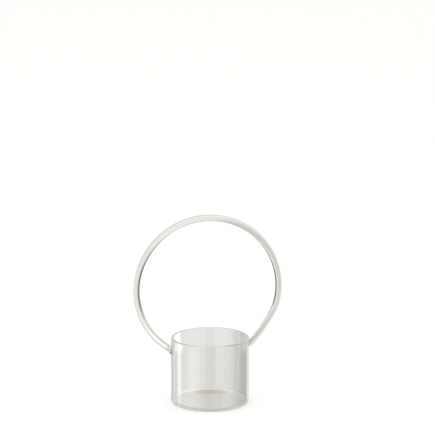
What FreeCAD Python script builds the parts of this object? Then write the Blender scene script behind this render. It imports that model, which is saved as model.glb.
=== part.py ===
import FreeCAD, Part
import math
import os
import Sketcher

# A hanging vase of clear glass: a straight cup with a flat base, and a hoop of glass rod
# whose two ends are fused to the cup's sides a little below its rim.
# Origin: the middle of the cup's underside. +Z is up, and the hoop stands in the XZ plane.

# Driving sizes, in millimetres. The cup is drawn tube with a closed, flattened end.
CUP_SIZES = {
    "cup_diameter": 100.0,
    "cup_height": 86.0,
    "wall_thickness": 3.0,
    "base_thickness": 3.0,
    "heel_radius": 3.0,
    "inner_corner_radius": 2.0,
    "rim_round": 1.4,
}

# The hoop's radii are those of the rod's middle line. Angles are in degrees.
# Its circle stands a little to the left of the cup's axis. It runs down the left side to the
# wall, and on the right it leaves for a tighter bend and then a nearly straight leg.
ROD_SIZES = {
    "rod_diameter": 8.4,
    "hoop_radius": 92.3,
    "hoop_offset": 2.8,
    "bend_start_angle": 11.6,
    "bend_turn_angle": 16.0,
    "bend_radius": 48.0,
    "leg_radius": 210.0,
}

# The rod's square ends stop this far from the wall, and melted glass fills between. On the left
# it runs up the rod as a tapered collar. On the right it is a small round pad on the wall, which
# lies a little lower than the middle of the rod's end.
WELD_SIZES = {
    "end_gap": 1.5,
    "weld_drop": 14.0,
    "collar_radius": 6.4,
    "collar_length": 5.0,
    "collar_lip": 0.25,
    "pad_radius": 4.0,
    "pad_length": 2.8,
    "pad_round": 1.6,
    "pad_drop": 1.2,
}

# A rounding takes at most this share of the wall or pad that it is on.
RIM_LIMIT_SHARE = 0.48
PAD_LIMIT_SHARE = 0.9

# An edge counts as found when it lies this share of the wall from where it should be.
EDGE_MISFIT_SHARE = 0.01

# Half of the cup's width, and the distance of the rod's ends from the cup's axis
CUP_RADIUS = "sizes.cup_diameter / 2"
END_REACH = "sizes.cup_diameter / 2 + sizes.end_gap"

# How far the left end lies to the side of the hoop's centre, and how far below it
LEFT_REACH = "(sizes.cup_diameter / 2 + sizes.end_gap - sizes.hoop_offset)"
LEFT_RISE = f"sqrt(sizes.hoop_radius ^ 2 - {LEFT_REACH} ^ 2)"

# The hoop's centre lies as high as its circle needs to bring the left end down to its weld.
LEFT_HEIGHT = "sizes.cup_height - sizes.weld_drop"
CENTRE_HEIGHT = f"{LEFT_HEIGHT} + {LEFT_RISE}"

# A sketch's own names for its axes and for the points of its lines and arcs
SKETCH_ORIGIN = (-1, 1)
LEVEL_AXIS, VERTICAL_AXIS = range(-1, -3, -1)
START, END, CENTRE = range(1, 4)
RIGHT_ANGLE = math.radians(90)

doc = FreeCAD.newDocument("hanging_vase")


def fill_sheet():
    """One driving size in each row, with its name as the alias."""
    sheet = doc.addObject("Spreadsheet::Sheet", "sizes")
    values = {**CUP_SIZES, **ROD_SIZES, **WELD_SIZES}
    for row, (name, value) in enumerate(values.items(), start=1):
        sheet.set(f"A{row}", name)
        sheet.set(f"B{row}", str(value))
        sheet.setAlias(f"B{row}", name)
    doc.recompute()
    return sheet


sizes = fill_sheet()


def flat(x, y):
    """A point in a sketch."""
    return FreeCAD.Vector(x, y, 0)


def polar(centre, radius, angle):
    """The point at an angle round a centre in a sketch."""
    return centre + flat(radius * math.cos(angle), radius * math.sin(angle))


def sketch_on(body, role, name):
    """A sketch on one of the body's own origin planes."""
    plane = next(item for item in body.Origin.OriginFeatures if item.Role == role)
    sketch = body.newObject("Sketcher::SketchObject", name)
    sketch.AttachmentSupport = (plane, [""])
    sketch.MapMode = "FlatFace"
    return sketch


def bind(sketch, name, expression, *constraint):
    """Adds a dimension to a sketch and ties it to the sheet."""
    index = sketch.addConstraint(Sketcher.Constraint(*constraint))
    sketch.renameConstraint(index, name)
    sketch.setExpression(f"Constraints.{name}", expression)


def read_off(sketch, name, *constraint):
    """Adds a dimension that only measures, for others to follow."""
    index = sketch.addConstraint(Sketcher.Constraint(*constraint))
    sketch.setDriving(index, False)
    sketch.renameConstraint(index, name)


def closed_outline(sketch, corners):
    """Level and upright lines from corner to corner, joined into one loop."""
    count = len(corners)
    for number in range(count):
        here, following = corners[number], corners[(number + 1) % count]
        sketch.addGeometry(Part.LineSegment(here, following), False)
        level = abs(here.y - following.y) < abs(here.x - following.x)
        sketch.addConstraint(Sketcher.Constraint("Horizontal" if level else "Vertical", number))
    for number in range(count):
        sketch.addConstraint(Sketcher.Constraint("Coincident", number, END, (number + 1) % count, START))


def arc(sketch, centre, radius, first_angle, last_angle):
    """An arc that runs anticlockwise from the first angle to the last."""
    circle = Part.Circle(centre, FreeCAD.Vector(0, 0, 1), radius)
    return sketch.addGeometry(Part.ArcOfCircle(circle, first_angle, last_angle), False)


def revolve(body, sketch, axis, name):
    """A full turn of a sketch about one of its own axes."""
    turned = body.newObject("PartDesign::Revolution", name)
    turned.Profile = sketch
    turned.ReferenceAxis = (sketch, [axis])
    doc.recompute()
    return turned


def ring_edge(feature, radius, along, place):
    """Names the circular edge that has a radius and lies at a place along a direction."""
    for number, edge in enumerate(feature.Shape.Edges, start=1):
        if not isinstance(edge.Curve, Part.Circle):
            continue
        misfit = abs(edge.Curve.Radius - radius) + abs(edge.Curve.Center.dot(along) - place)
        if misfit < sizes.wall_thickness * EDGE_MISFIT_SHARE:
            return f"Edge{number}"
    raise RuntimeError(f"{feature.Name} has no such edge")


def round_edges(body, feature, edges, name, expression):
    """Rounds edges of a feature with a radius from the sheet."""
    rounded = body.newObject("PartDesign::Fillet", name)
    rounded.Base = (feature, edges)
    rounded.setExpression("Radius", expression)
    doc.recompute()
    return rounded


def vessel():
    """The cup: its half section turned about its axis, then heel, inside corner and rim rounded."""
    body = doc.addObject("PartDesign::Body", "vessel")
    body.Label = "vessel"
    outer = sizes.cup_diameter / 2
    inner = outer - sizes.wall_thickness
    section = sketch_on(body, "XZ_Plane", "cup_section")
    closed_outline(section, [
        flat(0, 0),
        flat(outer, 0),
        flat(outer, sizes.cup_height),
        flat(inner, sizes.cup_height),
        flat(inner, sizes.base_thickness),
        flat(0, sizes.base_thickness),
    ])
    section.addConstraint(Sketcher.Constraint("Coincident", 0, START, *SKETCH_ORIGIN))
    bind(section, "radius", CUP_RADIUS, "DistanceX", 0, START, 0, END, outer)
    bind(section, "height", "sizes.cup_height", "DistanceY", 1, START, 1, END, sizes.cup_height)
    bind(section, "wall", "sizes.wall_thickness", "DistanceX", 2, END, 2, START, sizes.wall_thickness)
    bind(section, "floor", "sizes.base_thickness", "DistanceY", 5, END, 5, START, sizes.base_thickness)
    shell = revolve(body, section, "V_Axis", "cup_shell")
    up = FreeCAD.Vector(0, 0, 1)
    heel = ring_edge(shell, outer, up, 0)
    shell = round_edges(body, shell, [heel], "heel", "sizes.heel_radius")
    corner = ring_edge(shell, inner, up, sizes.base_thickness)
    shell = round_edges(body, shell, [corner], "inside_corner", "sizes.inner_corner_radius")
    lips = [ring_edge(shell, radius, up, sizes.cup_height) for radius in (outer, inner)]
    round_edges(body, shell, lips, "rim", f"min(sizes.rim_round; sizes.wall_thickness * {RIM_LIMIT_SHARE})")
    return body


def hoop_centre():
    """The centre of the hoop's circle, in the sketch plane."""
    reach = sizes.cup_diameter / 2 + sizes.end_gap - sizes.hoop_offset
    rise = math.sqrt(sizes.hoop_radius ** 2 - reach ** 2)
    return flat(-sizes.hoop_offset, sizes.cup_height - sizes.weld_drop + rise)


def hold_hoop_arc(sketch, crown_point):
    """Ties the hoop's own arc, which is the sketch's first, to the sheet."""
    centre = hoop_centre()
    bind(sketch, "hoop_radius", "sizes.hoop_radius", "Radius", 0, sizes.hoop_radius)
    bind(sketch, "hoop_offset", "sizes.hoop_offset", "DistanceX", 0, CENTRE, *SKETCH_ORIGIN, sizes.hoop_offset)
    bind(sketch, "hoop_height", CENTRE_HEIGHT, "DistanceY", *SKETCH_ORIGIN, 0, CENTRE, centre.y)
    sketch.addConstraint(Sketcher.Constraint("Vertical", 0, crown_point, 0, CENTRE))


def left_run(body):
    """The rod's middle line from the crown down the left side: one arc, right to the wall."""
    sketch = sketch_on(body, "XZ_Plane", "left_run")
    centre = hoop_centre()
    reach = sizes.cup_diameter / 2 + sizes.end_gap
    last_angle = 2 * RIGHT_ANGLE + math.acos((reach + centre.x) / sizes.hoop_radius)
    arc(sketch, centre, sizes.hoop_radius, RIGHT_ANGLE, last_angle)
    hold_hoop_arc(sketch, START)
    bind(sketch, "end_reach", END_REACH, "DistanceX", 0, END, *SKETCH_ORIGIN, reach)
    read_off(sketch, "end_height", "DistanceY", *SKETCH_ORIGIN, 0, END, sizes.cup_height - sizes.weld_drop)
    return sketch


def right_run(body):
    """The middle line down the right side: the hoop's arc, a tighter bend and a slow leg."""
    sketch = sketch_on(body, "XZ_Plane", "right_run")
    hoop = hoop_centre()
    bend_angle = -math.radians(sizes.bend_start_angle)
    leg_angle = bend_angle - math.radians(sizes.bend_turn_angle)
    bend = polar(hoop, sizes.hoop_radius - sizes.bend_radius, bend_angle)
    leg = polar(bend, sizes.bend_radius - sizes.leg_radius, leg_angle)
    reach = sizes.cup_diameter / 2 + sizes.end_gap
    end_angle = -math.acos((reach - leg.x) / sizes.leg_radius)
    arc(sketch, hoop, sizes.hoop_radius, bend_angle, RIGHT_ANGLE)
    arc(sketch, bend, sizes.bend_radius, leg_angle, bend_angle)
    arc(sketch, leg, sizes.leg_radius, end_angle, leg_angle)
    hold_hoop_arc(sketch, END)
    bind(sketch, "bend_start", "sizes.hoop_radius * sin(sizes.bend_start_angle)",
         "DistanceY", 0, START, 0, CENTRE, -sizes.hoop_radius * math.sin(bend_angle))
    sketch.addConstraint(Sketcher.Constraint("Tangent", 0, START, 1, END))
    bind(sketch, "bend_radius", "sizes.bend_radius", "Radius", 1, sizes.bend_radius)
    bind(sketch, "bend_turn", "sizes.bend_radius * sin(sizes.bend_start_angle + sizes.bend_turn_angle)",
         "DistanceY", 1, START, 1, CENTRE, -sizes.bend_radius * math.sin(leg_angle))
    sketch.addConstraint(Sketcher.Constraint("Tangent", 1, START, 2, END))
    bind(sketch, "leg_radius", "sizes.leg_radius", "Radius", 2, sizes.leg_radius)
    bind(sketch, "end_reach", END_REACH, "DistanceX", *SKETCH_ORIGIN, 2, START, reach)
    read_off(sketch, "end_height", "DistanceY", *SKETCH_ORIGIN, 2, START, polar(leg, sizes.leg_radius, end_angle).y)
    return sketch


def rod_section(body):
    """The rod's round section, where the two runs meet at the crown."""
    sketch = sketch_on(body, "YZ_Plane", "rod_section")
    sketch.setExpression("AttachmentOffset.Base.z", "-sizes.hoop_offset")
    crown = hoop_centre().y + sizes.hoop_radius
    circle = Part.Circle(flat(0, crown), FreeCAD.Vector(0, 0, 1), sizes.rod_diameter / 2)
    sketch.addGeometry(circle, False)
    sketch.addConstraint(Sketcher.Constraint("PointOnObject", 0, CENTRE, VERTICAL_AXIS))
    bind(sketch, "rod_radius", "sizes.rod_diameter / 2", "Radius", 0, sizes.rod_diameter / 2)
    bind(sketch, "crown", f"{CENTRE_HEIGHT} + sizes.hoop_radius", "DistanceY", *SKETCH_ORIGIN, 0, CENTRE, crown)
    return sketch


def sweep(body, section, run, name):
    """Draws the section along a run."""
    doc.recompute()
    pipe = body.newObject("PartDesign::AdditivePipe", name)
    pipe.Profile = section
    pipe.Spine = (run, [f"Edge{number}" for number in range(1, len(run.Shape.Edges) + 1)])
    doc.recompute()
    return pipe


def bent_rod():
    """The whole rod with square ends, before it is fitted to the cup's curved wall."""
    body = doc.addObject("PartDesign::Body", "bent_rod")
    section = rod_section(body)
    runs = [left_run(body), right_run(body)]
    for run, name in zip(runs, ("left_side", "right_side")):
        sweep(body, section, run, name)
    length = sum(run.Shape.Length for run in runs)
    area = math.pi * sizes.rod_diameter ** 2 / 4
    print(f"rod length {length:.2f} mm, volume share {body.Shape.Volume / (length * area):.5f}")
    return body


def cup_outside():
    """The space that the cup takes up: what meets its wall is cut to this."""
    solid = doc.addObject("Part::Cylinder", "cup_outside")
    solid.setExpression("Radius", CUP_RADIUS)
    solid.setExpression("Height", "sizes.cup_height")
    return solid


def cut(base, tool, name):
    """One solid less another."""
    result = doc.addObject("Part::Cut", name)
    result.Base = base
    result.Tool = tool
    doc.recompute()
    return result


def collar():
    """A taper of melted glass round the rod's left end, which starts inside the wall."""
    solid = doc.addObject("Part::Cone", "left_collar")
    solid.setExpression("Radius1", "sizes.collar_radius")
    solid.setExpression("Radius2", "sizes.rod_diameter / 2 + sizes.collar_lip")
    solid.setExpression("Height", "sizes.rod_diameter + sizes.collar_length")
    reach = sizes.cup_diameter / 2 + sizes.end_gap - sizes.hoop_offset
    lean = math.degrees(math.acos(reach / sizes.hoop_radius))
    solid.Placement.Rotation = FreeCAD.Rotation(FreeCAD.Vector(0, -1, 0), lean)
    solid.setExpression("Placement.Rotation.Angle", f"acos({LEFT_REACH} / sizes.hoop_radius)")
    solid.setExpression("Placement.Base.x", f"sizes.rod_diameter * {LEFT_RISE} / sizes.hoop_radius - ({END_REACH})")
    solid.setExpression("Placement.Base.z", f"{LEFT_HEIGHT} - sizes.rod_diameter * {LEFT_REACH} / sizes.hoop_radius")
    return solid


def pad():
    """A round pad of melted glass on the right of the wall, turned about a level line."""
    body = doc.addObject("PartDesign::Body", "right_pad")
    section = sketch_on(body, "XZ_Plane", "right_pad_section")
    section.setExpression("AttachmentOffset.Base.x", CUP_RADIUS)
    section.setExpression("AttachmentOffset.Base.y", "right_run.Constraints.end_height / 1 mm - sizes.pad_drop")
    root, tip, radius = -sizes.wall_thickness, sizes.pad_length, sizes.pad_radius
    closed_outline(section, [flat(root, 0), flat(tip, 0), flat(tip, radius), flat(root, radius)])
    section.addConstraint(Sketcher.Constraint("PointOnObject", 0, START, LEVEL_AXIS))
    bind(section, "root", "sizes.wall_thickness", "DistanceX", 0, START, *SKETCH_ORIGIN, sizes.wall_thickness)
    bind(section, "length", "sizes.pad_length", "DistanceX", *SKETCH_ORIGIN, 0, END, tip)
    bind(section, "radius", "sizes.pad_radius", "DistanceY", 1, START, 1, END, radius)
    turned = revolve(body, section, "H_Axis", "right_pad_turned")
    tip_edge = ring_edge(turned, radius, FreeCAD.Vector(1, 0, 0), sizes.cup_diameter / 2 + tip)
    limit = f"{PAD_LIMIT_SHARE} * sizes.pad_radius; {PAD_LIMIT_SHARE} * sizes.pad_length"
    round_edges(body, turned, [tip_edge], "right_pad_round", f"min(sizes.pad_round; {limit})")
    return body


def weld(side, melt, envelope, rod):
    """Melted glass fitted over the cup's wall, with a seat in it for the rod's end."""
    on_wall = cut(melt, envelope, f"{side}_melt_on_wall")
    fitted = cut(on_wall, rod, f"{side}_weld")
    fitted.Label = f"{side}_weld"
    return fitted


def check(parts):
    """Stops before anything is written if a feature failed or a part isn't one sound solid."""
    doc.recompute()
    for item in doc.Objects:
        if "Invalid" in item.State or "Error" in item.State:
            raise RuntimeError(f"{item.Name} is {item.State}")
    for part in parts:
        shape = part.Shape
        if shape.isNull() or not shape.isValid() or len(shape.Solids) != 1:
            raise RuntimeError(f"{part.Label} isn't one valid solid")
        box = shape.optimalBoundingBox(False)
        print(f"{part.Label}: volume {shape.Volume:.1f} mm3, "
              f"x {box.XMin:.2f} to {box.XMax:.2f}, y {box.YMin:.2f} to {box.YMax:.2f}, "
              f"z {box.ZMin:.2f} to {box.ZMax:.2f}")


cup = vessel()
rod = bent_rod()
envelope = cup_outside()
handle = cut(rod, envelope, "handle_rod")
handle.Label = "handle_rod"
welds = [weld("left", collar(), envelope, handle), weld("right", pad(), envelope, handle)]
pieces = [cup, handle, *welds]
check(pieces)
os.makedirs("parts", exist_ok=True)
for piece in pieces:
    piece.Shape.exportStep(f"parts/{piece.Label}.step")
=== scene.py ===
# %% [markdown]
# A hanging vase of clear glass
# The object is a straight glass cup with one large hoop of glass rod fused to its sides.
# The engineering model gives every place and size. This script keeps those and makes the looks:
# smooth pieces, real glass, and a small studio, because clear glass shows mostly what stands round it.

# %% Load the frame
import bmesh
import bpy
import math
from mathutils import Matrix, Vector


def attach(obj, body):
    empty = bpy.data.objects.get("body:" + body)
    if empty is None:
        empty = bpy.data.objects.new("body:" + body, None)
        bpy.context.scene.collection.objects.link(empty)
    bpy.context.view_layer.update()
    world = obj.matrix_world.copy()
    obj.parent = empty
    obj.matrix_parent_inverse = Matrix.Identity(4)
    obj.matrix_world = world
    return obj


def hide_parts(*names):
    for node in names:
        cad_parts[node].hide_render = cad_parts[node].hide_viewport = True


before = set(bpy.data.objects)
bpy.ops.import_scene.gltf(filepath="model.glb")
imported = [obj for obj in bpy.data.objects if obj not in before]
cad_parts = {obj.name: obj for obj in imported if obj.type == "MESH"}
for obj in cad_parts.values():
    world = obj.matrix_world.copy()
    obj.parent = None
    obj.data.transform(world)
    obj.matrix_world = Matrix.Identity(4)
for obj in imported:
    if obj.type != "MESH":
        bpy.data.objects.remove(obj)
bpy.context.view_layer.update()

# %% [markdown]
# Sizes that the pieces share
# Blender works in metres. The sizes are written in millimetres, as a glass worker measures them,
# and turned once. The cup is made of tube 100 mm across, and the rod is a little over 8 mm thick.

# %% Shared sizes
MM = 0.001
CUP_RADIUS = 50.0
CUP_HEIGHT = 86.0
ROD_RADIUS = 4.2


def mm(x, y, z):
    """A point given in millimetres, in Blender's metres."""
    return Vector((x, y, z)) * MM


print("cup", 2 * CUP_RADIUS, "mm across and", CUP_HEIGHT, "mm tall, rod", 2 * ROD_RADIUS, "mm thick")

# %% [markdown]
# The camera
# A long lens from four metres away keeps the cup's sides parallel, as product photographs do.
# The camera stands in front of the hoop, a little to its left, and looks down by about 13 degrees.
# Its place is in metres, its lens in millimetres, and its turn and tilt are in degrees.

# %% Camera
CAMERA_TURN = 10.69
CAMERA_TILT = 77.06
CAMERA_PLACE = (-0.7085, -3.8044, 1.1323)
LENS = 258.2
SENSOR = 36
camera_data = bpy.data.cameras.new("long_lens")
camera_data.lens = LENS
camera_data.sensor_width = SENSOR
camera = bpy.data.objects.new("camera", camera_data)
camera.location = CAMERA_PLACE
camera.rotation_euler = (math.radians(CAMERA_TILT), 0, math.radians(-CAMERA_TURN))
bpy.context.collection.objects.link(camera)
bpy.context.scene.camera = camera
bpy.context.scene.view_settings.view_transform = "Standard"
print("camera looks down by", round(90 - CAMERA_TILT, 2), "degrees")

# %% [markdown]
# Helpers for materials
# Colours are written as sRGB hex, as a designer would name them, and turned to the linear values
# that Blender computes with. One function adds a node with its settings and its links.
# White is also the colour of a transparent shader that takes nothing from the light.

# %% Helpers for colours and nodes


def colour(hex_code):
    """An sRGB hex colour as linear red, green, blue and alpha."""
    parts = [int(hex_code[i:i + 2], 16) / 255 for i in (1, 3, 5)]
    return [p / 12.92 if p <= 0.04045 else ((p + 0.055) / 1.055) ** 2.4 for p in parts] + [1.0]


def add(tree, kind, links=None, values=None, **settings):
    """Adds a node: its settings, then values for its sockets, then links into them."""
    node = tree.nodes.new(kind)
    for name, value in settings.items():
        setattr(node, name, value)
    for socket, value in (values or {}).items():
        node.inputs[socket].default_value = value
    for socket, source in (links or {}).items():
        tree.links.new(source, node.inputs[socket])
    return node


def empty_tree(owner):
    """The node tree of a material or world, with its first nodes taken out."""
    owner.use_nodes = True
    owner.node_tree.nodes.clear()
    return owner.node_tree


WHITE = (1, 1, 1, 1)
print("the grey #808080 is", round(colour("#808080")[0], 3), "in linear light")

# %% [markdown]
# The studio
# Clear glass has no colour of its own to light. A photographer shapes it with what it reflects and
# bends into view: a pale sheet behind, a bright window on one side, dark cards that draw its edges.
# Light that went straight through the glass finds these on one round screen close about the vase.
# Light that the glass mirrored finds them on the walls of the room. The camera itself sees neither,
# only a plain white background, and the floor is lit by a plain white room.
# Lit planes would do the same. Levels by the angle need no planes, and each can be set by itself
# while one column of the glass is looked at. The studio is large, so its sizes are in metres.

# %% [markdown]
# What shows through the glass
# Each stop is an angle in degrees, clockwise from straight behind the vase as the camera sees it,
# and a light level, where 1 is white paper. Each height has a list of its own, because the eye looks
# through the thick base low down, then through two walls, at the rim through the far wall alone,
# and above that only through the rod.

# %% Levels seen through the glass
BRIGHTEST = 2.0
SHEET_TONE = colour("#FFFEFB")
# Seen through the base, the screen's light is a little green, and it is paler at the base's left.
BASE_TONE = colour("#FEFFF9")
THROUGH_BASE = [(-180, 0.80), (-60, 0.72), (-34, 0.70), (-29.6, 0.76), (-29, 0.92), (-22.3, 0.96),
                (-16, 0.96), (-10, 0.97), (-6, 0.86), (-4, 0.78), (7, 0.77), (9, 0.84), (13, 0.81),
                (20, 0.58), (30, 0.40), (36, 0.26), (43, 0.28), (47, 0.80), (52, 0.90), (64, 0.90),
                (75, 0.72), (180, 0.80)]
# Two walls show a pale sheet, with a bright strip between 29 and 22 degrees to the left, a dark
# line beside that, and a dark card at 36 degrees to the right. From the front, what lies beyond
# 46 degrees shows only in the rod's right leg, as the bright line along its inner side.
THROUGH_LOW = [(-180, 0.85), (-110, 0.90), (-60, 0.75), (-37, 0.80), (-34.5, 0.92), (-32.5, 0.68),
               (-29.6, 0.70), (-29, 0.96), (-22.3, 0.96), (-21.7, 0.80), (-16, 0.80), (-12.5, 0.86),
               (-9, 0.85), (-5, 0.79), (7, 0.77), (13, 0.73), (20, 0.56), (30, 0.38), (36, 0.33),
               (42, 0.42), (46, 0.82), (52, 0.95), (64, 0.95), (75, 0.80), (110, 0.84), (180, 0.86)]
# At the height of the rim the strip is wider and brighter, and the card is only grey.
THROUGH_RIM = [(-180, 0.88), (-110, 0.90), (-60, 0.75), (-45, 0.85), (-38, 1.02), (-33, 1.24),
               (-30, 1.18), (-26.5, 1.12), (-24.5, 1.24), (-20.6, 1.24), (-20, 0.83), (-15, 0.80),
               (2, 0.80), (8, 0.82), (13, 0.77), (19, 0.59), (25, 0.56), (36, 0.60), (45, 0.85),
               (60, 0.95), (64, 0.82), (80, 0.78), (110, 0.84), (180, 0.88)]
# Round the hoop a dark card stands at each side. The rod bends them into view as the dark line
# along its inner edge.
THROUGH_HIGH = [(-180, 0.88), (-90, 1.00), (-80, 0.75), (-74, 0.10), (-66, 0.10), (-58, 0.65),
                (-45, 0.92), (-20, 0.89), (2, 0.88), (12, 0.80), (19, 0.70), (25, 0.65), (40, 0.68),
                (50, 0.90), (57, 0.94), (60, 0.05), (72, 0.05), (78, 0.45), (85, 0.75), (110, 0.84),
                (180, 0.88)]
heights = (THROUGH_BASE, THROUGH_LOW, THROUGH_RIM, THROUGH_HIGH)
print("stops from the base up to the hoop:", [len(stops) for stops in heights])

# %% [markdown]
# What the glass mirrors
# A mirror image can come from anywhere in the room, also from behind the camera, at 180 degrees.
# A tall window stands at 75 degrees to the left. The ceiling and the table are grey: the cup's round
# heel gathers light from straight above and below, and white there would wash its curve out.
# The front of the cup mirrors what is behind the camera as one upright stripe. It is darker and a
# little warm, and its edges are sharp, because they are a doorway's edges.

# %% Levels that the glass mirrors
MIRRORED_LOW = [(-180, 0.80), (-152, 0.80), (-125, 0.93), (-95, 0.75), (-84, 0.60), (-81, 1.60),
                (-71, 1.60), (-68, 0.80), (-57, 0.55), (-51, 0.60), (-45, 0.84), (-35, 0.76),
                (-15, 0.45), (0, 0.70), (15, 0.88), (30, 0.70), (45, 0.50), (65, 0.68), (75, 0.51),
                (95, 0.71), (105, 0.95), (130, 1.05), (165, 0.92), (180, 0.80)]
# Above the eye's level the room is plainer.
MIRRORED_HIGH = [(-180, 0.78), (-60, 0.75), (-25, 0.65), (-10, 0.50), (10, 0.50), (25, 0.65),
                 (90, 0.75), (180, 0.78)]
# A ceiling and a table have one level all round, and only their tone.
ALL_ROUND = [(0, 1.0)]
CEILING_TONE = colour("#D4D4D0")
TABLE_TONE = colour("#B2B3AD")
DOORWAY_TONE = colour("#CDB6BA")
# Half the doorway's width and half its edge's blur, in degrees.
DOORWAY = 16.5
DOORWAY_EDGE = 0.5
print("the doorway is", 2 * DOORWAY, "degrees wide")

# %% [markdown]
# From lists to nodes
# A place or a direction gives a bearing round the vase and a height. A colour ramp reads its list by
# the bearing, and mixes lay the lists over each other by the height. A ramp holds levels up to 1, so
# all are divided by the brightest that it may give, and the light is made that much stronger.

# %% Nodes for the studio


def bearing_of(tree, vector):
    """How far round the vase a place or a direction lies, with 0.5 straight behind, and how high."""
    turned = add(tree, "ShaderNodeVectorRotate", links={"Vector": vector},
                 values={"Angle": math.radians(CAMERA_TURN)}, rotation_type="Z_AXIS")
    axes = add(tree, "ShaderNodeSeparateXYZ", links={"Vector": turned.outputs[0]})
    angle = add(tree, "ShaderNodeMath", links={0: axes.outputs["X"], 1: axes.outputs["Y"]},
                operation="ARCTAN2")
    bearing = add(tree, "ShaderNodeMath", links={0: angle.outputs[0]}, operation="MULTIPLY_ADD",
                  values={1: 0.5 / math.pi, 2: 0.5})
    return bearing.outputs[0], axes.outputs["Z"]


def levels(tree, bearing, stops, *tones):
    """A ramp of light levels by the bearing, in the product of the tones."""
    tone = [math.prod(parts) for parts in zip(*tones)]
    ramp = add(tree, "ShaderNodeValToRGB", links={"Fac": bearing})
    elements = ramp.color_ramp.elements
    elements.remove(elements[-1])
    for number, (degrees, level) in enumerate(stops):
        place = (degrees + 180) / 360
        element = elements[0] if number == 0 else elements.new(place)
        element.position = place
        element.color = [level / BRIGHTEST * part for part in tone[:3]] + [1.0]
    return ramp.outputs["Color"]


def joined(tree, value, join, before, after):
    """One light before a join, another after it, and a straight blend across it."""
    passed = add(tree, "ShaderNodeMapRange", links={"Value": value},
                 values={"From Min": join[0], "From Max": join[1]})
    return add(tree, "ShaderNodeMix", data_type="RGBA", links={
        "Factor": passed.outputs["Result"], "A": before, "B": after}).outputs["Result"]


def was_mirrored(tree, path):
    """1 for light that glass mirrored at least once on its way, else 0."""
    return add(tree, "ShaderNodeMath", links={0: path.outputs["Glossy Depth"]}, values={1: 0.5},
               operation="GREATER_THAN").outputs[0]


# %% [markdown]
# The room
# The room is Blender's world, which a ray reads by its direction alone, as if the walls were far off.
# Three kinds of ray find three kinds of room: mirrored light the one with the window and the
# doorway, other light a plain pale one, and the camera a white background.

# %% White room
# A rise is the height in a direction that is 1 long.
WALL_JOIN = (-0.12, -0.02)
CEILING_JOIN = (0.3, 0.5)
TABLE_JOIN = (-0.4, -0.32)
ROOM_TONE = colour("#EEEDEB")


def white_room():
    """The world, with its walls laid over each other by how steeply a ray rises."""
    world = bpy.data.worlds.new("white_room")
    tree = empty_tree(world)
    path = add(tree, "ShaderNodeLightPath")
    direction = add(tree, "ShaderNodeTexCoord")
    bearing, rise = bearing_of(tree, direction.outputs["Generated"])
    from_behind = add(tree, "ShaderNodeMath", links={0: bearing}, values={1: 0.5}, operation="SUBTRACT")
    aside = add(tree, "ShaderNodeMath", links={0: from_behind.outputs[0]}, operation="ABSOLUTE")
    # aside is 0 straight behind the vase and 0.5 straight behind the camera, where the doorway is.
    edge = [0.5 - (DOORWAY + soft) / 360 for soft in (DOORWAY_EDGE, -DOORWAY_EDGE)]
    low = joined(tree, aside.outputs[0], edge, levels(tree, bearing, MIRRORED_LOW, SHEET_TONE),
                 levels(tree, bearing, MIRRORED_LOW, SHEET_TONE, DOORWAY_TONE))
    walls = joined(tree, rise, WALL_JOIN, low, levels(tree, bearing, MIRRORED_HIGH, SHEET_TONE))
    walls = joined(tree, rise, CEILING_JOIN, walls, levels(tree, bearing, ALL_ROUND, CEILING_TONE))
    walls = joined(tree, rise, TABLE_JOIN, levels(tree, bearing, ALL_ROUND, TABLE_TONE), walls)
    windows = add(tree, "ShaderNodeBackground", links={"Color": walls}, values={"Strength": BRIGHTEST})
    plain = add(tree, "ShaderNodeBackground", values={"Color": ROOM_TONE, "Strength": 1.0})
    lit = add(tree, "ShaderNodeMixShader",
              links={0: was_mirrored(tree, path), 1: plain.outputs[0], 2: windows.outputs[0]})
    white = add(tree, "ShaderNodeBackground", values={"Color": WHITE, "Strength": 1.0})
    seen = add(tree, "ShaderNodeMixShader",
               links={0: path.outputs["Is Camera Ray"], 1: lit.outputs[0], 2: white.outputs[0]})
    add(tree, "ShaderNodeOutputWorld", links={"Surface": seen.outputs[0]})
    print("room nodes:", len(tree.nodes))
    return world


bpy.context.scene.world = white_room()

# %% [markdown]
# Long paths
# Light runs round inside a glass wall for dozens of bounces before it leaves by the rim or the heel.
# Blender stops a path at its limit and paints it black, so the limits are set high.

# %% Bounces
cycles = bpy.context.scene.cycles
cycles.max_bounces = cycles.glossy_bounces = cycles.transmission_bounces = 256
cycles.transparent_max_bounces = 128
print("bounces:", cycles.max_bounces)

# %% [markdown]
# Helpers for meshes
# Every piece is a bmesh first, shaped by operators, and becomes an object at the origin. An operator
# gives back points, edges and faces in one list, which the next one often needs apart.

# %% Helpers for meshes


def mesh_object(name, shape, materials, smooth=True):
    """Turns a finished bmesh into an object at the origin."""
    mesh = bpy.data.meshes.new(name)
    shape.to_mesh(mesh)
    shape.free()
    for face in mesh.polygons:
        face.use_smooth = smooth
    for material in materials:
        mesh.materials.append(material)
    item = bpy.data.objects.new(name, mesh)
    bpy.context.collection.objects.link(item)
    print(f"{name}: {len(mesh.vertices)} points, {len(mesh.polygons)} faces")
    return item


def verts_of(geometry):
    """The points among what an operator gives back."""
    return [item for item in geometry if isinstance(item, bmesh.types.BMVert)]


def edges_of(geometry):
    """The edges among what an operator gives back."""
    return [item for item in geometry if isinstance(item, bmesh.types.BMEdge)]


# %% [markdown]
# The round screen
# The screen is an open tube about the vase that glows by the bearing and the height. It stands close,
# so each height of the glass finds its own list, which a world that is read by direction can't give.
# The lists join lower than the glass that shows them, because the camera looks down.
# A thin brownish line on top of the base's list is the shadow gap at the far edge of the base. It
# fades out towards the left. Above the hoop the screen is greyer, and shows along the crown.

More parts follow.
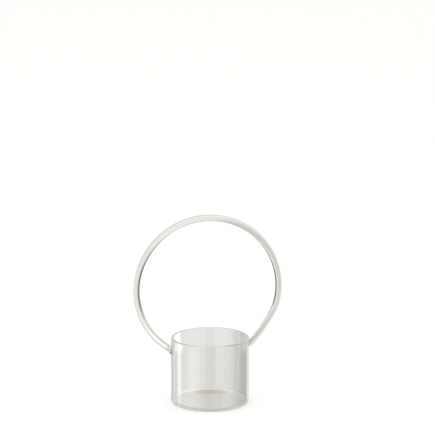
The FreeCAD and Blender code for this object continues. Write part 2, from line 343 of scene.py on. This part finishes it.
# %% Round screen
SCREEN_RADIUS = 0.13
SCREEN_BOTTOM = -0.1
SCREEN_TOP = 0.6
SCREEN_SIDES = 96
BASE_JOIN = (-0.0242, -0.0232)
GAP_JOIN = (-0.0212, -0.0202)
RIM_JOIN = (0.031, 0.039)
HOOP_JOIN = (0.068, 0.108)
TOP_JOIN = (0.31, 0.37)
# The gap fades out between 8 and 25 degrees to the left.
GAP_FADE = (0.5 - 25 / 360, 0.5 - 8 / 360)
GAP_TONE = colour("#DDD7CF")
TOP_TONE = colour("#D0D0CC")


def screen_material():
    """Glows by the angle round the vase, and lets mirrored light through to the room."""
    material = bpy.data.materials.new("lit_screen")
    tree = empty_tree(material)
    place = add(tree, "ShaderNodeTexCoord")
    path = add(tree, "ShaderNodeLightPath")
    bearing, height = bearing_of(tree, place.outputs["Object"])
    base = levels(tree, bearing, THROUGH_BASE, SHEET_TONE, BASE_TONE)
    brown = levels(tree, bearing, THROUGH_BASE, SHEET_TONE, BASE_TONE, GAP_TONE)
    sheet = joined(tree, height, BASE_JOIN, base, joined(tree, bearing, GAP_FADE, base, brown))
    sheet = joined(tree, height, GAP_JOIN, sheet, levels(tree, bearing, THROUGH_LOW, SHEET_TONE))
    sheet = joined(tree, height, RIM_JOIN, sheet, levels(tree, bearing, THROUGH_RIM, SHEET_TONE))
    sheet = joined(tree, height, HOOP_JOIN, sheet, levels(tree, bearing, THROUGH_HIGH, SHEET_TONE))
    sheet = joined(tree, height, TOP_JOIN, sheet, levels(tree, bearing, THROUGH_HIGH, SHEET_TONE, TOP_TONE))
    glow = add(tree, "ShaderNodeEmission", links={"Color": sheet}, values={"Strength": BRIGHTEST})
    open_air = add(tree, "ShaderNodeBsdfTransparent", values={"Color": WHITE})
    either = add(tree, "ShaderNodeMixShader",
                 links={0: was_mirrored(tree, path), 1: glow.outputs[0], 2: open_air.outputs[0]})
    add(tree, "ShaderNodeOutputMaterial", links={"Surface": either.outputs[0]})
    material.cycles.emission_sampling = "NONE"
    return material


shape = bmesh.new()
ring = bmesh.ops.create_circle(shape, cap_ends=False, radius=SCREEN_RADIUS, segments=SCREEN_SIDES)
bmesh.ops.translate(shape, vec=(0, 0, SCREEN_BOTTOM), verts=ring["verts"])
raised = bmesh.ops.extrude_edge_only(shape, edges=shape.edges[:])
bmesh.ops.translate(shape, vec=(0, 0, SCREEN_TOP - SCREEN_BOTTOM), verts=verts_of(raised["geom"]))
screen = mesh_object("round_screen", shape, [screen_material()])
screen.visible_camera = screen.visible_diffuse = screen.visible_shadow = False

# %% [markdown]
# The floor
# A sheet of matt white paper carries the vase. Its fine fibre, 90 marks in 100 mm, gives the eye a
# surface that is not quite even. The room lights it like any paper, and the camera adds the little
# light that it takes to read as pure white, so that the vase's soft shadow stays. Rays from the
# glass pass it, because what the base shows comes from the screen.

# %% Floor
FIBRE = 90
PAPER_LIFT = (0.225, 0.225, 0.23, 1)
FLOOR_REACH = 6.0
# The paper lies this many millimetres under the vase, so that the two never share a plane.
FLOOR_DROP = 0.2


def in_100_mm(marks):
    """The scale that puts this many of a pattern's marks into 100 mm."""
    return marks / (100 * MM)


def paper_material():
    """Matt white paper: fine fibre in its colour, and a lift for the camera alone."""
    material = bpy.data.materials.new("matt_white_paper")
    tree = empty_tree(material)
    place = add(tree, "ShaderNodeTexCoord")
    fibre = add(tree, "ShaderNodeTexNoise", links={"Vector": place.outputs["Object"]},
                values={"Scale": in_100_mm(FIBRE), "Detail": 4.0})
    tone = add(tree, "ShaderNodeMix", data_type="RGBA", links={"Factor": fibre.outputs["Fac"]},
               values={"A": colour("#F3F3F1"), "B": colour("#F6F6F5")})
    sheet = add(tree, "ShaderNodeBsdfDiffuse", links={"Color": tone.outputs["Result"]})
    path = add(tree, "ShaderNodeLightPath")
    lift = add(tree, "ShaderNodeEmission", links={"Strength": path.outputs["Is Camera Ray"]},
               values={"Color": PAPER_LIFT})
    lifted = add(tree, "ShaderNodeAddShader", links={0: sheet.outputs[0], 1: lift.outputs[0]})
    glassy = add(tree, "ShaderNodeMath", operation="MAXIMUM", links={
        0: path.outputs["Is Transmission Ray"], 1: path.outputs["Is Glossy Ray"]})
    open_air = add(tree, "ShaderNodeBsdfTransparent", values={"Color": WHITE})
    both = add(tree, "ShaderNodeMixShader",
               links={0: glassy.outputs[0], 1: lifted.outputs[0], 2: open_air.outputs[0]})
    add(tree, "ShaderNodeOutputMaterial", links={"Surface": both.outputs[0]})
    material.cycles.emission_sampling = "NONE"
    return material


shape = bmesh.new()
bmesh.ops.create_grid(shape, x_segments=1, y_segments=1, size=FLOOR_REACH)
bmesh.ops.translate(shape, vec=mm(0, 0, -FLOOR_DROP), verts=shape.verts[:])
floor = mesh_object("paper_floor", shape, [paper_material()], smooth=False)

# %% [markdown]
# The softbox
# A large soft lamp overhead gives the vase its faint shadow on the paper. A bright ceiling would
# do the same, and would fill the glass too. The glass neither mirrors nor shows this lamp, because
# its image would be white blotches along the heel and a streak on the hoop.

# %% Overhead softbox
SOFTBOX_PLACE = Vector((-0.5, -0.35, 1.3))
SOFTBOX_AIM = Vector((0, 0, 0.1))
lamp_data = bpy.data.lights.new("overhead_softbox", "AREA")
lamp_data.shape = "RECTANGLE"
lamp_data.size, lamp_data.size_y = 0.9, 0.6
lamp_data.energy = 3.0
lamp = bpy.data.objects.new("overhead_softbox", lamp_data)
lamp.location = SOFTBOX_PLACE
lamp.rotation_euler = (SOFTBOX_AIM - SOFTBOX_PLACE).to_track_quat("-Z", "Y").to_euler()
lamp.visible_glossy = lamp.visible_transmission = False
bpy.context.collection.objects.link(lamp)
print("softbox:", lamp_data.size, "by", lamp_data.size_y, "metres")

# %% [markdown]
# Glass
# All of it is borosilicate glass, index 1.473, nearly without colour, and shaped in a flame.
# Tube and rod are drawn from the melt, which leaves faint lines along them, a few microns deep.
# A bump bends the view at each line, and the colour turns a trace greyer there.
# Handling leaves a slight haze in patches, which the eye sees as softer reflections.
# Where a lamp shines through, only a faint shadow falls, so shadow rays pass with a tint.
# A plain Glass shader would look the same. The Principled one is also read by other programs.

# %% Glass material
GLASS_INDEX = 1.473
HAZE_PATCHES = 3.5
MOST_HAZE = 0.008
SHADOW_TINT = (0.93, 0.94, 0.93, 1)


def borosilicate(name, tint, streak, lines, depth):
    """Clear drawn glass. lines adds the nodes that place its draw lines, depth is in millimetres."""
    material = bpy.data.materials.new(name)
    tree = empty_tree(material)
    place = add(tree, "ShaderNodeTexCoord")
    waves = add(tree, "ShaderNodeTexNoise", links={"Vector": lines(tree, place)},
                values={"Scale": 1.0, "Detail": 3.0, "Roughness": 0.45})
    relief = add(tree, "ShaderNodeBump", links={"Height": waves.outputs["Fac"]},
                 values={"Strength": 1.0, "Distance": depth * MM})
    patches = add(tree, "ShaderNodeTexNoise", links={"Vector": place.outputs["Object"]},
                  values={"Scale": in_100_mm(HAZE_PATCHES), "Detail": 2.0})
    haze = add(tree, "ShaderNodeMapRange", links={"Value": patches.outputs["Fac"]},
               values={"From Min": 0.45, "From Max": 0.75, "To Min": 0.0, "To Max": MOST_HAZE})
    crests = add(tree, "ShaderNodeMapRange", links={"Value": waves.outputs["Fac"]},
                 values={"From Min": 0.42, "From Max": 0.58})
    streaks = add(tree, "ShaderNodeMix", data_type="RGBA", links={"Factor": crests.outputs["Result"]},
                  values={"A": colour(streak), "B": colour(tint)})
    glass = add(tree, "ShaderNodeBsdfPrincipled",
                values={"Metallic": 0.0, "IOR": GLASS_INDEX, "Transmission Weight": 1.0},
                links={"Base Color": streaks.outputs["Result"], "Normal": relief.outputs["Normal"],
                       "Roughness": haze.outputs["Result"]})
    path = add(tree, "ShaderNodeLightPath")
    faint = add(tree, "ShaderNodeBsdfTransparent", values={"Color": SHADOW_TINT})
    surface = add(tree, "ShaderNodeMixShader",
                  links={0: path.outputs["Is Shadow Ray"], 1: glass.outputs[0], 2: faint.outputs[0]})
    add(tree, "ShaderNodeOutputMaterial", links={"Surface": surface.outputs[0]})
    print(f"{name}: tint {tint}, lines {depth} mm deep")
    return material


# %% [markdown]
# Three ways that the glass was worked
# The lines of the tube run up the cup's wall, those of the rod run along it, and where the flame
# melted the glass they are gone and soft lumps are left. The real ones are too fine to show here, so
# the cup's are drawn 3 mm apart and a few times deeper. The rod is only a few pixels wide, and its
# lines are drawn 1.7 mm apart and far deeper. Lines could be painted as a picture too. Noise that
# is drawn out along the piece has no seam and no repeat.

# %% Three glasses
TUBE_LINES = 33
TUBE_CHANGES = 0.8
ROD_LINES = 60
ROD_CHANGES = 0.6
MELT_LUMPS = 30


def up_the_wall(tree, place):
    """Waves round the cup that hardly change up its wall."""
    across, along = in_100_mm(TUBE_LINES), in_100_mm(TUBE_CHANGES)
    return add(tree, "ShaderNodeMapping", links={"Vector": place.outputs["Object"]},
               values={"Scale": (across, across, along)}).outputs["Vector"]


def along_the_rod(tree, place):
    """Waves across the rod that drift slowly along it. The attribute is in millimetres."""
    across = add(tree, "ShaderNodeAttribute", attribute_name="across_rod")
    per_mm = in_100_mm(ROD_LINES) * MM
    drift = add(tree, "ShaderNodeVectorMath", links={0: place.outputs["Object"]}, operation="SCALE",
                values={"Scale": in_100_mm(ROD_CHANGES)})
    return add(tree, "ShaderNodeVectorMath", operation="MULTIPLY_ADD", values={1: (per_mm,) * 3},
               links={0: across.outputs["Vector"], 2: drift.outputs[0]}).outputs[0]


def in_the_melt(tree, place):
    """Soft lumps a few millimetres across, which the flame leaves."""
    return add(tree, "ShaderNodeMapping", links={"Vector": place.outputs["Object"]},
               values={"Scale": (in_100_mm(MELT_LUMPS),) * 3}).outputs["Vector"]


# Drawn tube gives the eye a calm wall with faint upright lines in what shows through it.
cup_glass = borosilicate("drawn_tube_glass", "#FDFDFC", "#FAFAF9", up_the_wall, 0.006)
# Drawn rod gives it fine pale and grey lines that follow the bend.
rod_glass = borosilicate("drawn_rod_glass", "#FFFFFD", "#E8E8E4", along_the_rod, 0.2)
# Melted glass gives it soft glints and a trace of cream.
weld_glass = borosilicate("flame_melted_glass", "#FCFCF4", "#F6F6EA", in_the_melt, 0.03)

# %% [markdown]
# Where glass is fused to glass
# A melted joint has no face inside it. One joined mesh would have none either, but the engineering
# model has four parts. So each piece here is a closed mesh of its own, and the faces where two meet
# get a material that light crosses as if it were not there. It is the second material of a piece.
# Points behind the wall's surface are slid onto it, so that both meeting faces lie in one place.

# %% Fused faces
FUSED = 1
WALL_MISFIT = 0.02


def fused_material():
    """Lets light pass unchanged, which is what the inside of fused glass does."""
    material = bpy.data.materials.new("fused_inside_glass")
    tree = empty_tree(material)
    nothing = add(tree, "ShaderNodeBsdfTransparent", values={"Color": WHITE})
    add(tree, "ShaderNodeOutputMaterial", links={"Surface": nothing.outputs[0]})
    return material


def onto_wall(verts, direction):
    """Slides points that lie behind the cup's wall along a direction until they lie on it."""
    for vert in verts:
        wall = math.copysign(math.sqrt((CUP_RADIUS * MM) ** 2 - vert.co.y ** 2), vert.co.x)
        if abs(vert.co.x) < abs(wall):
            vert.co += direction * ((wall - vert.co.x) / direction.x)


def on_the_wall(point):
    """Whether a point lies on the cup's wall."""
    return abs(math.hypot(point.x, point.y) / MM - CUP_RADIUS) < WALL_MISFIT


fused_glass = fused_material()
print("fused material:", fused_glass.name)

# %% [markdown]
# The rod's line
# The maker bends one rod in the flame, all in one plane, and cuts both ends square. The hoop is a
# circle that runs down the left side to the cup. On the right it leaves for a tighter bend and then
# a nearly straight leg. Angles are in degrees, and the starts are measured below the level.
# Both ends stop a little short of the wall at the rod's middle line, where melted glass fills in.

# %% Bends of the rod
HOOP_RADIUS = 92.3
HOOP_CENTRE = (-2.8, 150.407)
BEND_RADIUS = 48.0
LEG_RADIUS = 210.0
BEND_START = 11.6
LEG_START = 27.6
END_GAP = 1.5


def step_from(centre, distance, degrees):
    """A place in the hoop's plane by its distance and its angle, anticlockwise from the right."""
    angle = math.radians(degrees)
    return centre[0] + distance * math.cos(angle), centre[1] + distance * math.sin(angle)


def in_plane(x, z):
    """A point of the hoop's plane."""
    return mm(x, 0, z)


def along_circle(degrees):
    """The anticlockwise direction of a circle at an angle."""
    return Vector((-math.sin(math.radians(degrees)), 0, math.cos(math.radians(degrees))))


BEND_CENTRE = step_from(HOOP_CENTRE, HOOP_RADIUS - BEND_RADIUS, -BEND_START)
LEG_CENTRE = step_from(BEND_CENTRE, BEND_RADIUS - LEG_RADIUS, -LEG_START)
END_REACH = CUP_RADIUS + END_GAP
LEFT_END_ANGLE = 180 + math.degrees(math.acos((END_REACH + HOOP_CENTRE[0]) / HOOP_RADIUS))
LEG_END_ANGLE = math.degrees(math.acos((END_REACH - LEG_CENTRE[0]) / LEG_RADIUS))
LEFT_END = in_plane(*step_from(HOOP_CENTRE, HOOP_RADIUS, LEFT_END_ANGLE))
LEFT_OUT = -along_circle(LEFT_END_ANGLE)
RIGHT_END = in_plane(*step_from(LEG_CENTRE, LEG_RADIUS, -LEG_END_ANGLE))
RIGHT_OUT = along_circle(-LEG_END_ANGLE)
print("ends at", LEFT_END / MM, RIGHT_END / MM, "headings away from the wall", LEFT_OUT, RIGHT_OUT)

# %% [markdown]
# What the welds cover
# At the left the glass has run up the rod as a collar. At the right it is a small pad on the wall,
# wide where it wets the wall and hollow towards the rod. Their sizes come before the rod, because
# the rod's faces inside them are fused.

# %% Sizes of the welds
COLLAR_LENGTH = 4.4
COLLAR_FOOT = 5.2
PAD_RADIUS = 4.0
PAD_LENGTH = 2.8
PAD_TIP = 1.4
PAD_DROP = 1.2
PAD_HEIGHT = RIGHT_END.z / MM - PAD_DROP


def pad_reach(along):
    """The pad's radius at a distance from the wall: wide on the wall, hollow, narrow at the rod."""
    return PAD_TIP + (PAD_RADIUS - PAD_TIP) * (1 - along / PAD_LENGTH) ** 1.5


def in_pad(point):
    """Whether a point of the rod's right end lies on the pad."""
    along = point.x / MM - CUP_RADIUS
    aside = math.hypot(point.y / MM, point.z / MM - PAD_HEIGHT)
    return along < PAD_LENGTH and aside < pad_reach(max(along, 0))


print("the pad's middle is", round(PAD_HEIGHT, 2), "mm above the table")

# %% [markdown]
# The rod
# A curve with a round bevel would give such a rod too. Here its round section at the crown is spun
# about the centre of each bend, down the left and down the right, because a spin keeps the section
# truly round and its ends square, and can stop exactly where a weld starts.
# Each point keeps its place across the rod in an attribute, for the draw lines to follow.

# %% Rod
ROD_SIDES = 48
# The rings that close an end, as shares of the rod's radius.
CAP_RINGS = (0.85, 0.65, 0.45, 0.25)
SEAT_DEPTH = 0.05


def turn(shape, ring, centre, degrees, steps):
    """Spins a ring of edges about a centre in the hoop's plane and gives the last ring."""
    turned = bmesh.ops.spin(shape, geom=ring, cent=in_plane(*centre), axis=(0, 1, 0),
                            angle=math.radians(degrees), steps=steps, use_merge=False)
    return turned["geom_last"]


def cap(shape, ring, centre):
    """Closes an end with a few rings and a middle, so that it can follow the wall."""
    loop = edges_of(ring)
    for size in CAP_RINGS:
        grown = bmesh.ops.extrude_edge_only(shape, edges=loop)["geom"]
        verts = verts_of(grown)
        radius = max((vert.co - centre).length for vert in verts)
        shrink = size * ROD_RADIUS * MM / radius
        bmesh.ops.scale(shape, vec=(shrink, shrink, shrink), space=Matrix.Translation(-centre), verts=verts)
        loop = [edge for edge in edges_of(grown) if all(vert in set(verts) for vert in edge.verts)]
    bmesh.ops.contextual_create(shape, geom=loop)


def bent_rod():
    """The rod's round section at the crown, spun down each side about the centres of its bends."""
    shape = bmesh.new()
    across = shape.verts.layers.float_vector.new("across_rod")
    made = bmesh.ops.create_circle(shape, cap_ends=False, radius=ROD_RADIUS * MM, segments=ROD_SIDES)
    for vert in made["verts"]:
        vert[across] = vert.co / MM
    upright = Matrix.Rotation(math.radians(90), 3, "Y")
    bmesh.ops.rotate(shape, cent=(0, 0, 0), matrix=upright, verts=made["verts"])
    bmesh.ops.translate(shape, vec=in_plane(*step_from(HOOP_CENTRE, HOOP_RADIUS, 90)), verts=made["verts"])
    crown = shape.verts[:] + shape.edges[:]
    welded_left = math.degrees(COLLAR_LENGTH / HOOP_RADIUS)
    welded_right = math.degrees(COLLAR_LENGTH / LEG_RADIUS)
    ring = turn(shape, crown, HOOP_CENTRE, 90 - LEFT_END_ANGLE + welded_left, steps=100)
    left = turn(shape, ring, HOOP_CENTRE, -welded_left, steps=5)
    ring = turn(shape, crown, HOOP_CENTRE, 90 + BEND_START, steps=70)
    ring = turn(shape, ring, BEND_CENTRE, LEG_START - BEND_START, steps=12)
    ring = turn(shape, ring, LEG_CENTRE, LEG_END_ANGLE - LEG_START - welded_right, steps=24)
    right = turn(shape, ring, LEG_CENTRE, welded_right, steps=5)
    for ring, centre, out in ((left, LEFT_END, LEFT_OUT), (right, RIGHT_END, RIGHT_OUT)):
        cap(shape, ring, centre)
        near = [vert for vert in shape.verts if (vert.co - centre).length < 2 * ROD_RADIUS * MM]
        onto_wall(near, out)
    bmesh.ops.recalc_face_normals(shape, faces=shape.faces[:])
    return shape


def fuse_rod(shape):
    """Marks the faces that the collar covers, those that sit on the pad, and those on the wall."""
    for face in shape.faces:
        middle = face.calc_center_median()
        up_left = (middle - LEFT_END).dot(LEFT_OUT) / MM
        up_right = (middle - RIGHT_END).dot(RIGHT_OUT) / MM
        in_collar = middle.x < 0 and up_left < COLLAR_LENGTH and middle.z < CUP_HEIGHT * MM
        on_pad = middle.x > 0 and up_right < SEAT_DEPTH and in_pad(middle)
        if in_collar or on_pad or on_the_wall(middle):
            face.material_index = FUSED


shape = bent_rod()
fuse_rod(shape)
rod = mesh_object("bent_glass_rod", shape, [rod_glass, fused_glass])
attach(rod, "root")
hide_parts("handle_rod")

# %% [markdown]
# The welds
# Melted glass pulls itself into a smooth hollow flare. Each weld is such a profile spun about its own
# axis. A sculpted lump would look as good, but a spun one fits the round rod exactly. The profile
# starts behind the wall's surface, and the points there are then slid onto the wall.

# %% Helper for the welds
SPIN_STEPS = 48
SAME_POINT = 0.01 * MM


def spun(profile, centre, out):
    """Spins radii and distances along an axis into a closed shape."""
    shape = bmesh.new()
    side = Vector((0, 1, 0))
    points = [shape.verts.new(centre + (side * radius + out * along) * MM) for radius, along in profile]
    edges = [shape.edges.new(pair) for pair in zip(points, points[1:])]
    bmesh.ops.spin(shape, geom=points + edges, cent=centre, axis=out, angle=math.tau,
                   steps=SPIN_STEPS, use_merge=True)
    bmesh.ops.remove_doubles(shape, verts=shape.verts[:], dist=SAME_POINT)
    return shape


print("a weld has", SPIN_STEPS, "sides")

# %% [markdown]
# The two welds
# The collar wraps the rod and ends up along it in a thin lip. Its inside fits the rod's round side
# and square end. The pad is cut off square where the rod's end sits on it.

# %% Welds
COLLAR_START = -8
COLLAR_BOTTOM = -2
COLLAR_LIP = 0.05
FLARE_STEPS = 8
PAD_START = -2
PAD_STEPS = 10


def collar():
    """The left weld: it flares from the rod to the wall, and its inside fits the rod's end."""
    profile = [(radius, COLLAR_START) for radius in (0, 2, 4, COLLAR_FOOT + 0.4)]
    profile += [(COLLAR_FOOT + 0.3, -5)]
    for step in range(FLARE_STEPS + 1):
        run = step / FLARE_STEPS
        radius = ROD_RADIUS + COLLAR_LIP + (COLLAR_FOOT - ROD_RADIUS) * (1 - run) ** 2
        profile.append((radius, COLLAR_BOTTOM + (COLLAR_LENGTH - COLLAR_BOTTOM) * run))
    profile += [(ROD_RADIUS - COLLAR_LIP, along) for along in (COLLAR_LENGTH - 0.3, 2, 0)]
    profile += [(2, 0), (0, 0)]
    shape = spun(profile, LEFT_END, LEFT_OUT)
    onto_wall(shape.verts, LEFT_OUT)
    for face in shape.faces:
        middle = face.calc_center_median()
        offset = middle - LEFT_END
        up = offset.dot(LEFT_OUT)
        radius = (offset - LEFT_OUT * up).length / MM
        if on_the_wall(middle) or (radius < ROD_RADIUS and up > -SAME_POINT):
            face.material_index = FUSED
    bmesh.ops.recalc_face_normals(shape, faces=shape.faces[:])
    return shape


def pad():
    """The right weld: a round pad on the wall, cut off square where the rod's end sits on it."""
    flare = [(pad_reach(PAD_LENGTH * step / PAD_STEPS), PAD_LENGTH * step / PAD_STEPS)
             for step in range(PAD_STEPS + 1)]
    profile = [(radius, PAD_START) for radius in (0, 2, PAD_RADIUS)] + flare
    profile += [(PAD_TIP / 2, PAD_LENGTH), (0, PAD_LENGTH)]
    shape = spun(profile, mm(CUP_RADIUS, 0, PAD_HEIGHT), Vector((1, 0, 0)))
    onto_wall(shape.verts, Vector((1, 0, 0)))
    geometry = shape.verts[:] + shape.edges[:] + shape.faces[:]
    cut = bmesh.ops.bisect_plane(shape, geom=geometry, plane_co=RIGHT_END, plane_no=RIGHT_OUT,
                                 clear_outer=True, dist=0.000001)
    seat = bmesh.ops.contextual_create(shape, geom=edges_of(cut["geom_cut"]))["faces"]
    for face in shape.faces:
        if face in seat or on_the_wall(face.calc_center_median()):
            face.material_index = FUSED
    bmesh.ops.recalc_face_normals(shape, faces=shape.faces[:])
    return shape


for side, shape in (("left", collar()), ("right", pad())):
    open_edges = sum(not edge.is_manifold for edge in shape.edges)
    print(side, "weld: open edges", open_edges, "volume mm3", round(shape.calc_volume() / MM ** 3, 1))
    weld = mesh_object(f"{side}_melted_weld", shape, [weld_glass, fused_glass])
    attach(weld, "root")
    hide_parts(f"{side}_weld")

# %% [markdown]
# The cup's profile
# The cup is one length of tube: its end was closed in the flame and pressed flat, its heel and its
# inside corner are round, and its rim was melted to a bead. The underside is pressed a little
# hollow and the floor sags by a fraction of a millimetre, as they do on the real piece.
# A cylinder could be hollowed and bevelled instead. A profile gives each round its own radius, and
# where the welds sit it gives the wall a row for every millimetre, so that the fused spots fit them.

# %% Cup profile
WALL = 3.0
FLOOR_THICKNESS = 3.0
HEEL_RADIUS = 3.0
CORNER_RADIUS = 2.0
RIM_ROUND = 1.4
# Each point is a radius and a height.
UNDERSIDE = [(0, 0.3), (12, 0.28), (24, 0.2), (34, 0.08), (41, 0.01), (46.6, 0)]
FLOOR_SAG = [(38, 2.97), (26, 2.9), (13, 2.84), (0, 2.82)]
WELD_ROWS = range(61, 80)
PLAIN_ROW = 40
BESIDE_ROUND = 0.4
BELOW_RIM = CUP_HEIGHT - RIM_ROUND - 0.3


def arc_points(centre, radius, first, last, steps):
    """Points along an arc in the profile plane, angles in degrees."""
    angles = [math.radians(first + (last - first) * i / steps) for i in range(steps + 1)]
    return [(centre[0] + radius * math.cos(a), centre[1] + radius * math.sin(a)) for a in angles]


def cup_profile():
    """Radius and height round the cup's section, from the underside's middle to the floor's middle."""
    inside = CUP_RADIUS - WALL
    heel = (CUP_RADIUS - HEEL_RADIUS, HEEL_RADIUS)
    corner = (inside - CORNER_RADIUS, FLOOR_THICKNESS + CORNER_RADIUS)
    points = UNDERSIDE + arc_points(heel, HEEL_RADIUS, -90, 0, 9)
    points += [(CUP_RADIUS, HEEL_RADIUS + BESIDE_ROUND), (CUP_RADIUS, PLAIN_ROW)]
    points += [(CUP_RADIUS, height) for height in WELD_ROWS]
    points += [(CUP_RADIUS, BELOW_RIM)]
    points += arc_points((CUP_RADIUS - RIM_ROUND, CUP_HEIGHT - RIM_ROUND), RIM_ROUND, 0, 90, 7)
    points += arc_points((inside + RIM_ROUND, CUP_HEIGHT - RIM_ROUND), RIM_ROUND, 90, 180, 7)
    points += [(inside, BELOW_RIM), (inside, PLAIN_ROW), (inside, corner[1] + BESIDE_ROUND)]
    points += arc_points(corner, CORNER_RADIUS, 0, -90, 7)
    return points + [(corner[0] - BESIDE_ROUND, FLOOR_THICKNESS)] + FLOOR_SAG


print("the cup's profile has", len(cup_profile()), "points")

# %% [markdown]
# The cup
# The profile is spun once round the axis, as the glass turned in the maker's hands, which leaves no
# seam. The faces under the welds are fused. They keep a little inside the welds' edges, because a
# face that stood out beyond a weld would be a hole in the wall.

# %% Cup
CUP_SIDES = 256
COLLAR_MARGIN = 0.9
PAD_MARGIN = 0.7


def under_weld(point):
    """Whether a point of the wall lies well inside the footprint of a weld or of the rod's end."""
    if not on_the_wall(point) or abs(point.y) / MM > COLLAR_FOOT:
        return False
    if point.x < 0:
        offset = point - LEFT_END
        return (offset - LEFT_OUT * offset.dot(LEFT_OUT)).length / MM < COLLAR_FOOT - COLLAR_MARGIN
    return math.hypot(point.y / MM, point.z / MM - PAD_HEIGHT) < PAD_RADIUS - PAD_MARGIN


def spun_cup():
    """The profile as a line of edges, spun round the cup's axis, with the fused spots marked."""
    shape = bmesh.new()
    points = [shape.verts.new(mm(r, 0, z)) for r, z in cup_profile()]
    edges = [shape.edges.new(pair) for pair in zip(points, points[1:])]
    bmesh.ops.spin(shape, geom=points + edges, cent=(0, 0, 0), axis=(0, 0, 1), angle=math.tau,
                   steps=CUP_SIDES, use_merge=True)
    bmesh.ops.remove_doubles(shape, verts=shape.verts[:], dist=SAME_POINT)
    bmesh.ops.recalc_face_normals(shape, faces=shape.faces[:])
    spots = [face for face in shape.faces if under_weld(face.calc_center_median())]
    for face in spots:
        face.material_index = FUSED
    print("fused faces on the wall:", len(spots))
    return shape


cup = mesh_object("glass_cup", spun_cup(), [cup_glass, fused_glass])
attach(cup, "root")
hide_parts("vessel")
